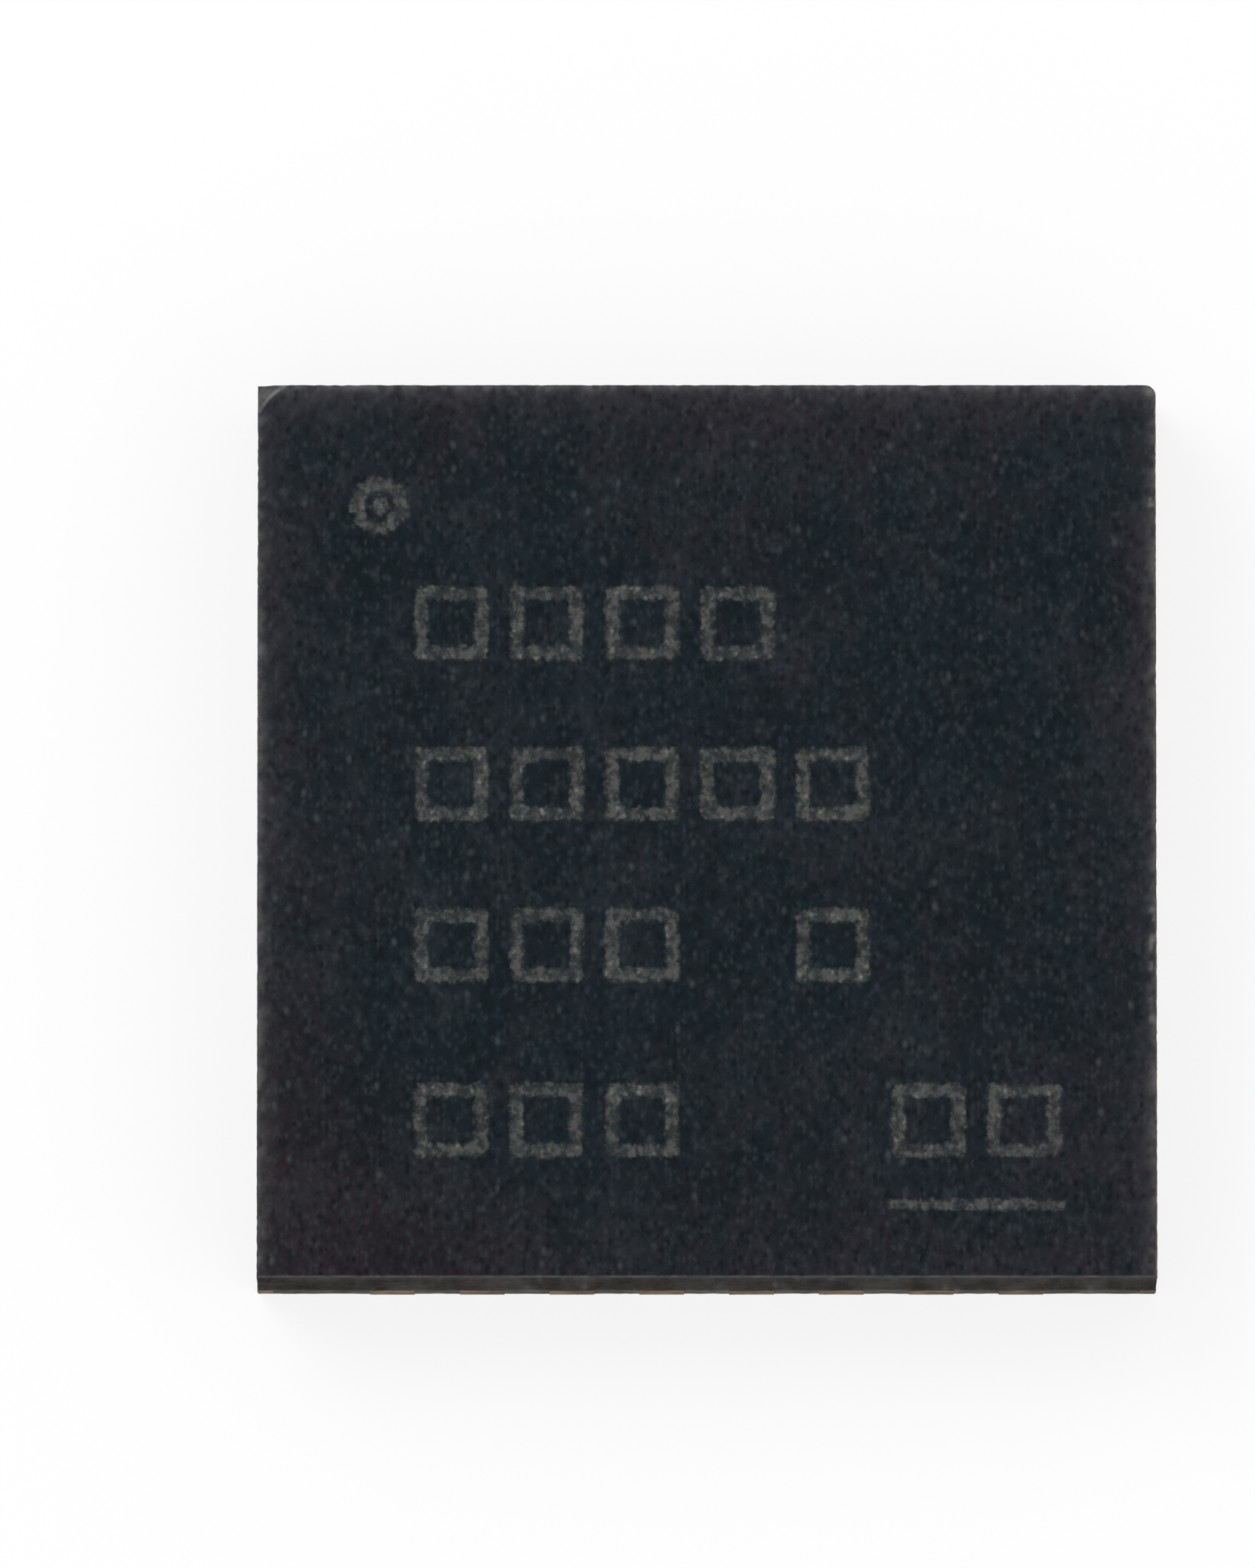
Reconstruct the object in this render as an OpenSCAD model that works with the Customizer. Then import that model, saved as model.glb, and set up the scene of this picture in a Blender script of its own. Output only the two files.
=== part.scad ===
// Leadless surface-mount chip: a sawn block of moulding compound round a half-etched copper lead frame,
// with the die on its paddle and a bond wire from the die to every lead.
// Millimetres. The origin is the centre of the footprint on the seating plane, +Z leaves the marked face,
// and terminal 1 is the northern one on the west side (-X), from where the numbers run anticlockwise.

/* [Terminals] */
// Terminals along each side
side_count = 8; // [4:1:10]
// Distance between the centrelines of neighbouring terminals
pitch = 0.5; // [0.4:0.01:0.8]
// Width of a land
land_width = 0.25; // [0.15:0.01:0.3]
// Length of a land, from the sawn side to its round inner end
land_length = 0.4; // [0.3:0.01:0.6]
// How far the bond finger reaches past its land
finger_reach = 0.1; // [0.05:0.01:0.15]
// From the finger tips of one side to the centreline of the next side's first terminal
corner_gap = 0.25; // [0.2:0.01:0.5]
// Thickness of the tin plating under the lands and the pad, which is also the standoff
plating_thickness = 0.02; // [0.01:0.005:0.05]

/* [Lead frame] */
// Thickness of the copper sheet
frame_thickness = 0.2; // [0.15:0.01:0.25]
// Depth that is etched away from below under fingers, rim and tie bars
etch_depth = 0.1; // [0.06:0.01:0.13]
// Gap between the lands and the exposed pad
land_to_pad = 0.375; // [0.3:0.005:0.6]
// Width of the half-etched rim round the exposed pad
paddle_rim = 0.1; // [0.05:0.01:0.15]
// Cut-off at the corner of the exposed pad that points to terminal 1
pad_chamfer = 0.3; // [0.1:0.01:0.5]
// Width of a tie bar
tie_bar_width = 0.12; // [0.08:0.01:0.16]

/* [Die] */
// From the paddle's edge to the die's west and east edges
die_margin_x = 0.55; // [0.4:0.01:0.8]
// From the paddle's edge to the die's south and north edges
die_margin_y = 0.6; // [0.4:0.01:0.8]
// Thickness of the die
die_thickness = 0.25; // [0.15:0.01:0.3]
// Thickness of the adhesive under the die
attach_thickness = 0.03; // [0.02:0.005:0.05]
// How far the adhesive spreads past the die on the paddle
attach_spread = 0.08; // [0.03:0.01:0.15]
// How far the adhesive climbs up the sides of the die
attach_climb = 0.07; // [0.02:0.01:0.12]

/* [Bond wires] */
// Diameter of the wire
wire_diameter = 0.03; // [0.02:0.001:0.05]
// Diameter of the flattened ball on the die
ball_diameter = 0.07; // [0.055:0.001:0.09]
// Height of the flattened ball
ball_height = 0.02; // [0.01:0.001:0.03]
// From the edge of the die to the middle of a ball
bond_inset = 0.09; // [0.06:0.01:0.12]
// From the corner of the die to the middle of the first ball, along the edge
bond_corner = 0.25; // [0.2:0.01:0.4]
// Height of the loop's top above the die
loop_height = 0.12; // [0.09:0.01:0.16]
// How far the loop leans out between the ball and its top
loop_lean = 0.05; // [0.03:0.01:0.1]
// How far the middle of the span is bowed up from a straight line
loop_bow = 0.05; // [0:0.01:0.1]
// From the tip of the finger to the near end of the stitch
stitch_inset = 0.06; // [0.04:0.01:0.1]
// Length of the stitch on the finger
stitch_length = 0.08; // [0.05:0.01:0.1]
// Width of the stitch at its far end
stitch_width = 0.05; // [0.03:0.001:0.07]
// Thickness of the stitch at its far end
stitch_thickness = 0.01; // [0.005:0.001:0.02]

/* [Body] */
// Height of the marked face above the seating plane
package_height = 0.9; // [0.75:0.01:1.2]
// Arc radius of the worn top corner beside terminal 1
northwest_wear = 0.16; // [0.05:0.01:0.3]
// Arc radius of the worn top corner at the other end of the north side
northeast_wear = 0.1; // [0.05:0.01:0.3]
// From the west and north sides to the middle of the terminal 1 mark
mark_inset = 0.68; // [0.5:0.01:1]
// Outer radius of the mark's ring
mark_radius = 0.16; // [0.12:0.005:0.25]
// Width of the mark's ring
mark_ring = 0.075; // [0.04:0.005:0.09]
// Radius of the dot inside the ring
mark_dot = 0.045; // [0.02:0.005:0.05]
// Depth of the mark
mark_depth = 0.015; // [0.005:0.001:0.03]

/* [Hidden] */
side_names = ["west", "south", "east", "north"];
terminal_count = len(side_names) * side_count;
finger_length = land_length + finger_reach;
row_length = (side_count - 1) * pitch;
body_side = row_length + 2 * (finger_length + corner_gap);
pad_side = body_side - 2 * (land_length + land_to_pad);
paddle_side = pad_side + 2 * paddle_rim;
rim_chamfer = pad_chamfer + paddle_rim * (2 - sqrt(2));
half_etched = frame_thickness - etch_depth;
frame_bottom = plating_thickness;
finger_bottom = frame_bottom + etch_depth;
frame_top = frame_bottom + frame_thickness;
die_bottom = frame_top + attach_thickness;
die_top = die_bottom + die_thickness;
die_x = paddle_side - 2 * die_margin_x;
die_y = paddle_side - 2 * die_margin_y;
// How far the openings in the body run past its faces
overcut = 0.05;
// Sides of a wire's section, the upper and lower of them level
wire_sides = 6;
corner_step = 360 / wire_sides;
round_fn = 48;

function two_digits(n) = n < 10 ? str("0", n) : str(n);
function lead_name(n) = str("lead_", two_digits(n));
function plating_name(side) = str("land_plating_", side_names[side]);
function wires_name(side) = str("bond_wires_", side_names[side]);
function side_terminals(side) = [side * side_count + 1 : (side + 1) * side_count];

// Every side is drawn as the south one and then turned into place
function side_of(n) = floor((n - 1) / side_count);
function side_turn(side) = (side - 1) * 90;
function row_place(n) = (n - 1) % side_count / (side_count - 1) - 0.5;

// Puts a shape at terminal n: X runs along the side, Y inwards from the sawn face
module at_terminal(n) {
    rotate(side_turn(side_of(n)))
        translate([row_place(n) * row_length, -body_side / 2, 0])
            children();
}

// Outline of a land or finger: straight from the sawn face, with a round inner end
module tongue(length) {
    straight = length - land_width / 2;
    translate([-land_width / 2, 0])
        square([land_width, straight]);
    translate([0, straight])
        circle(d = land_width, $fn = round_fn);
}

// Square outline with the corner by terminal 1 cut off
module pad_outline(side, chamfer) {
    h = side / 2;
    polygon([[-h, -h], [h, -h], [h, h], [chamfer - h, h], [-h, h - chamfer]]);
}

// Outline of the south-east tie bar, from under the die to the corner that the saw leaves, or past it
module tie_bar_outline(past) {
    outer = body_side / 2 + past;
    inner = paddle_side / 2 - rim_chamfer;
    half_cut = tie_bar_width / sqrt(2);
    polygon([
        [outer, -outer],
        [outer, half_cut - outer],
        [inner + half_cut, -inner],
        [inner, -inner - half_cut],
        [outer - half_cut, -outer]
    ]);
}

// Copper of one lead: a full-thickness land and a half-etched finger.
// The opening for it in the body runs past the sawn face and the underside by the given length.
module lead(n, past = 0) {
    color("#b5784c")
        at_terminal(n)
            translate([0, -past, 0]) {
                translate([0, 0, frame_bottom - past])
                    linear_extrude(frame_thickness + past)
                        tongue(land_length + past);
                translate([0, 0, finger_bottom])
                    linear_extrude(half_etched)
                        tongue(finger_length + past);
            }
}

// Copper paddle with its half-etched rim and tie bars, and the opening for them as above
module die_paddle(past = 0) {
    color("#b5784c") {
        translate([0, 0, frame_bottom - past])
            linear_extrude(frame_thickness + past)
                pad_outline(pad_side, pad_chamfer);
        translate([0, 0, finger_bottom])
            linear_extrude(half_etched) {
                pad_outline(paddle_side, rim_chamfer);
                for (side = [0 : len(side_names) - 1])
                    rotate(side_turn(side))
                        tie_bar_outline(past);
            }
    }
}

module pad_plating() {
    color("#a5a7a2")
        linear_extrude(plating_thickness)
            pad_outline(pad_side, pad_chamfer);
}

// The separate layers of tin under the lands of one side
module land_plating(side) {
    color("#a5a7a2")
        for (n = side_terminals(side))
            at_terminal(n)
                linear_extrude(plating_thickness)
                    tongue(land_length);
}

module die() {
    color("#59606c")
        translate([-die_x / 2, -die_y / 2, die_bottom])
            cube([die_x, die_y, die_thickness]);
}

// Bank of adhesive with sloping sides, which meet the die's sides at the height that the adhesive climbs to
module attach_bank(die_width, length) {
    foot = die_width / 2 + attach_spread;
    rise = attach_thickness + attach_climb;
    rotate([90, 0, 0])
        linear_extrude(length, center = true)
            polygon([[-foot, 0], [foot, 0], [die_width / 2, rise], [-die_width / 2, rise]]);
}

// Adhesive under the die: two banks crossed, so that the fillet runs round all four sides
module die_attach() {
    color("#c4c0b6")
        difference() {
            translate([0, 0, frame_top])
                intersection() {
                    attach_bank(die_x, die_y + 2 * attach_spread);
                    rotate(90)
                        attach_bank(die_y, die_x + 2 * attach_spread);
                }
            die();
        }
}

// Sections of a wire over a run from the ball to the end of the stitch, each as distance along the run,
// height, climb angle, half width and half height. The level sides lie a little within the half height.
function wire_sections(run) =
    let (
        flat = sin(corner_step),
        r = wire_diameter / 2,
        toe = stitch_thickness / 2 / flat,
        top = [loop_lean, die_top + loop_height],
        heel = [run - stitch_length, frame_top + r * flat],
        middle = (top + heel) / 2 + [0, loop_bow],
        slope = atan2(heel.y - top.y, heel.x - top.x)
    ) [
        [0, die_top, 90, ball_diameter / 2, ball_diameter / 2],
        [0, die_top + ball_height, 90, ball_diameter / 2, ball_diameter / 2],
        [0, die_top + ball_height + r, 90, r, r],
        [top.x, top.y, (90 + slope) / 2, r, r],
        [middle.x, middle.y, slope, r, r],
        [heel.x, heel.y, 0, r, r],
        [run, frame_top + toe * flat, 0, stitch_width / 2, toe]
    ];

// Corners of one section, in the frame of a wire that runs along X
function section_corners(s) = [
    for (k = [0 : wire_sides - 1])
        let (
            a = k * corner_step,
            rise = s[4] * sin(a)
        ) [s[0] - rise * sin(s[2]), s[3] * cos(a), s[1] + rise * cos(s[2])]
];

// Skin of a wire: two triangles between neighbouring corners, and a flat cap at each end
function wire_faces(count) = concat(
    [for (i = [0 : count - 2], k = [0 : wire_sides - 1], upper = [false, true])
        let (
            a = i * wire_sides + k,
            b = i * wire_sides + (k + 1) % wire_sides
        ) upper ? [b, a + wire_sides, b + wire_sides] : [b, a, a + wire_sides]],
    [[for (k = [0 : wire_sides - 1]) k]],
    [[for (k = [wire_sides - 1 : -1 : 0]) (count - 1) * wire_sides + k]]
);

// One bond wire, from its ball on the die to its stitch on the finger of lead n
module bond_wire(n) {
    side = side_of(n);
    die_row = side % 2 == 0 ? die_y : die_x;
    die_depth = side % 2 == 0 ? die_x : die_y;
    start = [row_place(n) * (die_row - 2 * bond_corner), bond_inset - die_depth / 2];
    stitch_end = finger_length - stitch_inset - stitch_length;
    end = [row_place(n) * row_length, stitch_end - body_side / 2];
    sections = wire_sections(norm(end - start));
    rotate(side_turn(side))
        translate(start)
            rotate(atan2(end.y - start.y, end.x - start.x))
                polyhedron(
                    [for (s = sections) each section_corners(s)],
                    wire_faces(len(sections))
                );
}

module bond_wires(side) {
    color("#d8ae4a")
        for (n = side_terminals(side))
            bond_wire(n);
}

// What is worn off the top corner that lies at the given turn from the north-east one:
// outside an arc that meets both sides, the face falls away at 45 degrees
module worn_corner(turn, radius) {
    reach = radius * (sqrt(2) - 1) + overcut;
    rotate(turn)
        translate([body_side / 2 - radius, body_side / 2 - radius, package_height])
            rotate_extrude(angle = 90, $fn = round_fn)
                polygon([
                    [radius, 0],
                    [radius + reach, -reach],
                    [radius + reach, overcut],
                    [radius, overcut]
                ]);
}

// Ring and dot sunk into the marked face beside terminal 1
module terminal_1_mark() {
    translate([mark_inset - body_side / 2, body_side / 2 - mark_inset, package_height - mark_depth])
        rotate_extrude($fn = round_fn) {
            square([mark_dot, mark_depth + overcut]);
            translate([mark_radius - mark_ring, 0])
                square([mark_ring, mark_depth + overcut]);
        }
}

// Moulding compound: the block that fills everything round the lead frame, die and wires
module mould_body() {
    color("#23282d")
        difference() {
            translate([-body_side / 2, -body_side / 2, frame_bottom])
                cube([body_side, body_side, package_height - frame_bottom]);
            worn_corner(90, northwest_wear);
            worn_corner(0, northeast_wear);
            terminal_1_mark();
            for (n = [1 : terminal_count])
                lead(n, overcut);
            die_paddle(overcut);
            die_attach();
            die();
            for (n = [1 : terminal_count])
                bond_wire(n);
        }
}

mould_body();
die_paddle();
pad_plating();
die_attach();
die();
for (n = [1 : terminal_count])
    lead(n);
for (side = [0 : len(side_names) - 1]) {
    land_plating(side);
    bond_wires(side);
}
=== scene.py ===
import bpy
import numpy as np
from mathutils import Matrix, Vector


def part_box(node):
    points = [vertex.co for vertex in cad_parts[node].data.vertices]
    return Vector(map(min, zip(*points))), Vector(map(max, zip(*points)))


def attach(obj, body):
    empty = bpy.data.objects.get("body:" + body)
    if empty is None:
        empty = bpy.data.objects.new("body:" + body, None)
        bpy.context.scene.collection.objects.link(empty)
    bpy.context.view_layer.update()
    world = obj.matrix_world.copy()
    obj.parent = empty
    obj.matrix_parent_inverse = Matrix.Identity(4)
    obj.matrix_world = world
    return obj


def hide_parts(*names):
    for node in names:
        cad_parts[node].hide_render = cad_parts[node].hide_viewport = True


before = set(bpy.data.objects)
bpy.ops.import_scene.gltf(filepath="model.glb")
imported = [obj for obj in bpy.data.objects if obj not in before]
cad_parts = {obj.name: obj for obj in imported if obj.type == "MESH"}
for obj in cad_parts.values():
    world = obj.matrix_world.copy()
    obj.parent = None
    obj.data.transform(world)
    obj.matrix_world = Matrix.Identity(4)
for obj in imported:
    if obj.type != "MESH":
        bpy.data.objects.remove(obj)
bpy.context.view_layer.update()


# Lead frame: 32 leads and the die paddle with its tie bars, half-etched from one sheet of copper alloy.
# They keep the shape of their solids. The saw cuts them off flush with the sides of the body,
# so that only their sawn ends show, dull and smeared along the cut. All sizes are in millimetres.
MM = 0.001
NOISE_SPAN = (0.3, 0.7)
COPPER_BRIGHT = "#82705b"
COPPER_TARNISHED = "#51463b"
COPPER_CUT = "#9d8b74"
COPPER_SMEARS = (8.0, 8.0, 60.0)
COPPER_STAINS = (7.0, 7.0, 7.0)
COPPER_STAIN_SPAN = (0.35, 0.65)
COPPER_CUT_SPAN = (0.52, 0.72, 0.0, 0.6)
COPPER_ROUGHNESS = (0.7, 0.92)
COPPER_RELIEF = 0.0015


def linear(code):
    """Linear RGBA of a colour that is written as a web code, by the sRGB curve."""
    srgb = np.array([int(code[i:i + 2], 16) for i in (1, 3, 5)]) / 255
    return (*np.where(srgb <= 0.04045, srgb / 12.92, ((srgb + 0.055) / 1.055) ** 2.4).tolist(), 1.0)


def put(tree, kind, inputs=None, **settings):
    """Adds a shader node, sets its properties, and links its inputs to sockets or sets them to values."""
    node = tree.nodes.new("ShaderNode" + kind)
    for key, value in settings.items():
        setattr(node, key, value)
    for key, value in (inputs or {}).items():
        if isinstance(value, bpy.types.NodeSocket):
            tree.links.new(value, node.inputs[key])
        else:
            node.inputs[key].default_value = value
    return node


def maths(tree, operation, a, b):
    """One number from two."""
    return put(tree, "Math", {0: a, 1: b}, operation=operation).outputs[0]


def eased(tree, value, low, high, to_low=0.0, to_high=1.0):
    """A smooth step from to_low to to_high while the value goes from low to high."""
    ends = {"Value": value, "From Min": low, "From Max": high, "To Min": to_low, "To Max": to_high}
    return put(tree, "MapRange", ends, interpolation_type="SMOOTHSTEP").outputs[0]


def layered(tree, colour, *coats):
    """A colour under coats of others, each given as its share and its colour, a web code or a socket."""
    for share, coat in coats:
        under, over = (linear(each) if isinstance(each, str) else each for each in (colour, coat))
        colour = put(tree, "Mix", {0: share, 6: under, 7: over}, data_type="RGBA").outputs[2]
    return colour


def effect(name, sliders, result):
    """Starts a node group with a number socket for each slider and one for its result."""
    group = bpy.data.node_groups.new(name, "ShaderNodeTree")
    for label, value in sliders.items():
        socket = group.interface.new_socket(label, in_out="INPUT", socket_type="NodeSocketFloat")
        socket.default_value = value
    group.interface.new_socket(result, in_out="OUTPUT", socket_type="NodeSocketFloat")
    return group, group.nodes.new("NodeGroupInput").outputs, group.nodes.new("NodeGroupOutput").inputs


# Blotches are noise, and flecks are a round spot in some of the cells that the surface is split into
EVERY_WAY = {"Per mm X": 10.0, "Per mm Y": 10.0, "Per mm Z": 10.0}


def pressed_place(tree, sliders):
    """The piece's own coordinates in millimetres, times how often the pattern repeats along each axis."""
    place = put(tree, "TexCoord").outputs["Object"]
    often = put(tree, "CombineXYZ", {axis: sliders[label] for axis, label in enumerate(EVERY_WAY)}).outputs[0]
    in_mm = put(tree, "VectorMath", {0: place, 1: (1 / MM,) * 3}, operation="MULTIPLY").outputs[0]
    return put(tree, "VectorMath", {0: in_mm, 1: often}, operation="MULTIPLY").outputs[0]


blotches, sliders, results = effect("blotches", EVERY_WAY, "Blotch")
noise = {"Vector": pressed_place(blotches, sliders), "Scale": 1.0, "Detail": 3.0, "Roughness": 0.6}
blotches.links.new(put(blotches, "TexNoise", noise).outputs[0], results["Blotch"])

fleck_sliders = {**EVERY_WAY, "Size": 0.3, "Share": 0.2, "Strength": 1.0}
flecks, sliders, results = effect("flecks", fleck_sliders, "Fleck")
cells = put(flecks, "TexVoronoi", {"Vector": pressed_place(flecks, sliders), "Scale": 1.0}).outputs
spot = eased(flecks, cells["Distance"], sliders["Size"], 0.0)
lot = put(flecks, "SeparateColor", {0: cells["Color"]}).outputs[0]
drawn = maths(flecks, "MULTIPLY", spot, maths(flecks, "LESS_THAN", lot, sliders["Share"]))
flecks.links.new(maths(flecks, "MULTIPLY", drawn, sliders["Strength"]), results["Fleck"])


def blotched(tree, often):
    """Places the blotches in a finish, with so many to the millimetre along each axis."""
    return put(tree, "Group", dict(zip(EVERY_WAY, often)), node_tree=blotches).outputs[0]


def flecked(tree, often, size, share, strength=1.0):
    """Places the flecks in a finish: cells to the millimetre along each axis, a fleck's size in its cell,
    the share of the cells that hold one, and its strength."""
    values = {**dict(zip(EVERY_WAY, often)), "Size": size, "Share": share, "Strength": strength}
    return put(tree, "Group", values, node_tree=flecks).outputs[0]


def finish(name, **values):
    """A new material, with the values that are the same all over set on its shader."""
    material = bpy.data.materials.new(name)
    material.use_nodes = True
    sockets = material.node_tree.nodes["Principled BSDF"].inputs
    for key, value in values.items():
        sockets[key.replace("_", " ")].default_value = value
    return material, material.node_tree, sockets


def join(tree, sockets, sources, relief, height):
    """Links what changes over a surface to its shader, with a relief of the given height as bump."""
    for key, source in sources.items():
        tree.links.new(source, sockets[key])
    bump = put(tree, "Bump", {"Strength": 1.0, "Distance": height * MM, "Height": relief})
    tree.links.new(bump.outputs[0], sockets["Normal"])


copper, tree, sockets = finish("sawn_copper", Metallic=0.25, Specular_IOR_Level=0.1)
smear = blotched(tree, COPPER_SMEARS)
stain = eased(tree, blotched(tree, COPPER_STAINS), *COPPER_STAIN_SPAN)
fresh_cut = eased(tree, smear, *COPPER_CUT_SPAN)
join(tree, sockets, {
    "Base Color": layered(tree, COPPER_BRIGHT, (stain, COPPER_TARNISHED), (fresh_cut, COPPER_CUT)),
    "Roughness": eased(tree, smear, *NOISE_SPAN, *COPPER_ROUGHNESS),
}, smear, COPPER_RELIEF)
for name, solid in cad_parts.items():
    if name.startswith("lead_") or name == "die_paddle":
        solid.data.materials[0] = copper


# Adhesive: silver-filled epoxy, dispensed on the paddle and squeezed out when the die was set down in it.
# It keeps the shape of its solid, and is inside the body.
EPOXY_CREAM = "#b9b3a4"
EPOXY_GRAIN = (25.0, 25.0, 25.0)
EPOXY_ROUGHNESS = (0.4, 0.65)
EPOXY_RELIEF = 0.002
SILVER = "#e4e2dc"
SILVER_FLAKES = ((70.0, 70.0, 70.0), 0.55, 0.6)
SILVER_METALLIC = 0.8

adhesive, tree, sockets = finish("silver_epoxy")
flake = flecked(tree, *SILVER_FLAKES)
join(tree, sockets, {
    "Base Color": layered(tree, EPOXY_CREAM, (flake, SILVER)),
    "Metallic": maths(tree, "MULTIPLY", flake, SILVER_METALLIC),
    "Roughness": eased(tree, blotched(tree, EPOXY_GRAIN), *NOISE_SPAN, *EPOXY_ROUGHNESS),
}, flake, EPOXY_RELIEF)
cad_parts["die_attach"].data.materials[0] = adhesive


# Die: a square of silicon, diced from a wafer, with its circuit on the upper face under a clear film.
# It keeps the shape of its solid, lies in the adhesive and is inside the body.
SILICON = "#5b626d"
SILICON_ROUGHNESS = (0.12, 0.35)
SILICON_RELIEF = 0.0005
CIRCUIT_GREEN = "#4c6a66"
CIRCUIT_ROSE = "#8b6f74"
BLOCKS_PER_MM = 3.5
TRACKS_PER_MM = 40.0
TRACK_SPAN = (0.1, 0.5, 0.2, 0.8)

silicon, tree, sockets = finish("silicon", Metallic=0.5, Coat_Weight=0.4, Coat_Roughness=0.08)
place = put(tree, "TexCoord").outputs["Object"]
blocks, tracks = (
    put(tree, "TexVoronoi", {"Vector": place, "Scale": per_mm / MM}, distance="CHEBYCHEV").outputs
    for per_mm in (BLOCKS_PER_MM, TRACKS_PER_MM))
kind = put(tree, "SeparateColor", {0: blocks["Color"]}).outputs
between_tracks = eased(tree, tracks["Distance"], *TRACK_SPAN)
join(tree, sockets, {
    "Base Color": layered(tree, CIRCUIT_GREEN, (kind[0], CIRCUIT_ROSE), (between_tracks, SILICON)),
    "Roughness": eased(tree, kind[1], 0.0, 1.0, *SILICON_ROUGHNESS),
}, tracks["Distance"], SILICON_RELIEF)
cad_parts["die"].data.materials[0] = silicon


# Bond wires: 32 gold wires, each melted to a ball that is pressed on the die, looped over and stitched to
# its finger. Round wire carried along a smooth loop stands for the six-sided solids.
WIRE_RADIUS = 0.015
WIRE_CORNERS = 12
BALL_HEIGHTS = np.array([0.0, 0.003, 0.010, 0.017, 0.022, 0.028])
BALL_RADII = np.array([0.027, 0.033, 0.035, 0.031, 0.020, WIRE_RADIUS])
BALL_INSET = 0.09
BALL_CORNER = 0.25
LOOP_RISE = 0.12
LOOP_LEAN = 0.05
LOOP_BOW = 0.05
LOOP_SPANS = 4
LOOP_STATIONS = 26
STITCH_INSET = 0.06
STITCH_LENGTH = 0.08
STITCH_HALF_WIDTH = 0.025
STITCH_HALF_HEIGHT = 0.005
SIDE_COUNT = 8
SIDE_TURNS = {"west": -90, "south": 0, "east": 90, "north": 180}
GOLD = "#d9ad55"
GOLD_DEEP = "#b98a3c"
GOLD_DRAW_MARKS = (60.0, 60.0, 60.0)
GOLD_SPAN = (0.35, 0.65)
GOLD_ROUGHNESS = (0.2, 0.35)
GOLD_RELIEF = 0.0004


def box_mm(node):
    """Lowest and highest corner of a solid, in millimetres."""
    return tuple(np.array(corner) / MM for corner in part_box(node))


def turned(points, degrees):
    """Points turned about the vertical axis, from the south side to another one."""
    c, s = np.cos(np.radians(degrees)), np.sin(np.radians(degrees))
    return points @ np.array([[c, s, 0], [-s, c, 0], [0, 0, 1]])


def paired(first, second):
    """Rows of two numbers, one from each list, where one number can stand for a list of equal ones."""
    return np.stack(np.broadcast_arrays(first, second), -1)


def through(knots, count):
    """Smooth curves through knots: between two of them, the cubic whose slope at each is half the way
    from the knot before it to the knot after it."""
    spans = knots.shape[1] - 1
    t = np.linspace(0, spans, count)
    i = np.minimum(t.astype(int), spans - 1)
    f = (t - i)[:, None]
    before, beyond = 2 * knots[:, :1] - knots[:, 1:2], 2 * knots[:, -1:] - knots[:, -2:-1]
    padded = np.concatenate([before, knots, beyond], 1)
    a, b, c, d = (padded[:, i + k] for k in range(4))
    return 0.5 * (2 * b + (c - a) * f + (2 * a - 5 * b + 4 * c - d) * f**2 + (3 * b - a - 3 * c + d) * f**3)


def loft(rings):
    """Closed skins over stacks of rings: rings[b, k, j] is point j of ring k in stack b, anticlockwise as
    seen from the first ring. Four-sided faces join neighbouring rings, and a fan to the middle of its end
    ring closes each end."""
    stacks, levels, around, _ = rings.shape
    points = np.concatenate([
        rings.reshape(stacks, -1, 3), rings[:, :1].mean(2), rings[:, -1:].mean(2)], 1)
    j = np.arange(around)
    after = (j + 1) % around
    upper = np.arange(levels - 1)[:, None] * around
    lower = upper + around
    quads = np.stack([lower + j, lower + after, upper + after, upper + j], -1).reshape(-1, 4)
    end = (levels - 1) * around
    fans = np.concatenate([
        np.stack([j, after, np.full(around, levels * around)], -1),
        np.stack([end + after, end + j, np.full(around, levels * around + 1)], -1)])
    offset = np.arange(stacks)[:, None, None] * points.shape[1]
    return points.reshape(-1, 3), (quads + offset).reshape(-1, 4), (fans + offset).reshape(-1, 3)


def piece(name, points, quads, fans, *materials):
    """A new object from points in millimetres, four-sided faces and three-sided ones, smooth-shaded."""
    mesh = bpy.data.meshes.new(name)
    corners = np.concatenate([quads.ravel(), fans.ravel()]).astype(np.int32)
    starts = np.concatenate([np.arange(len(quads)) * 4, quads.size + np.arange(len(fans)) * 3])
    mesh.vertices.add(len(points))
    mesh.vertices.foreach_set("co", (points * MM).astype(np.float32).ravel())
    mesh.loops.add(len(corners))
    mesh.loops.foreach_set("vertex_index", corners)
    mesh.polygons.add(len(starts))
    mesh.polygons.foreach_set("loop_start", starts.astype(np.int32))
    mesh.polygons.foreach_set("use_smooth", np.ones(len(starts), bool))
    mesh.update(calc_edges=True)
    for material in materials:
        mesh.materials.append(material)
    made = bpy.data.objects.new(name, mesh)
    bpy.context.scene.collection.objects.link(made)
    return made


gold, tree, sockets = finish("gold_wire", Metallic=1.0)
draw_marks = blotched(tree, GOLD_DRAW_MARKS)
join(tree, sockets, {
    "Base Color": layered(tree, GOLD, (eased(tree, draw_marks, *GOLD_SPAN), GOLD_DEEP)),
    "Roughness": eased(tree, draw_marks, *NOISE_SPAN, *GOLD_ROUGHNESS),
}, draw_marks, GOLD_RELIEF)

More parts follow.
